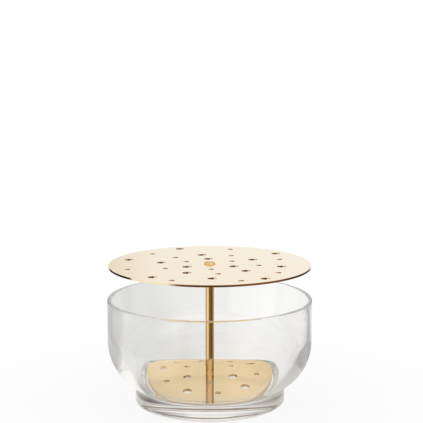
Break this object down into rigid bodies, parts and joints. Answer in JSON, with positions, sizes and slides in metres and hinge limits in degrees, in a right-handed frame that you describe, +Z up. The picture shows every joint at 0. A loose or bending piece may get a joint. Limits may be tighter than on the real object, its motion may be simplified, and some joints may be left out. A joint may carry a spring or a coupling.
{
  "type": "ikebana vase",
  "caption": "Clear glass footed bowl with a loose brass insert: two round plates pierced with stem holes and joined by a central rod, for arranging cut flowers.",
  "frame": {"origin": "centre of the flat underside of the glass foot, on the surface that the vase stands on", "axes": "+Z up along the common axis of bowl, rod and plates; -Y towards the viewer of the picture; +X to that viewer's right"},
  "size_m": [0.245, 0.245, 0.1693],
  "materials": {
    "clear_glass": "clear, fire-polished",
    "clear_silicone": "clear, satin",
    "polished_brass": "mirror polished",
    "drawn_brass": "polished along its length"
  },
  "bodies": {
    "bowl": {"glass_bowl": "clear_glass"},
    "pad": {"foot_pad": "clear_silicone"},
    "insert": {"lower_plate": "polished_brass", "upper_plate": "polished_brass", "stem_rod": "drawn_brass", "lower_screw": "drawn_brass", "upper_screw": "drawn_brass"}
  },
  "joints": [
    {"name": "insert_turn", "type": "hinge", "parent": "bowl", "child": "pad", "pos_m": [0, 0, 0.0125], "axis": [0, 0, 1], "continuous": true},
    {"name": "insert_lift", "type": "slide", "parent": "pad", "child": "insert", "axis": [0, 0, 1], "range_m": [0, 0.13]}
  ]
}
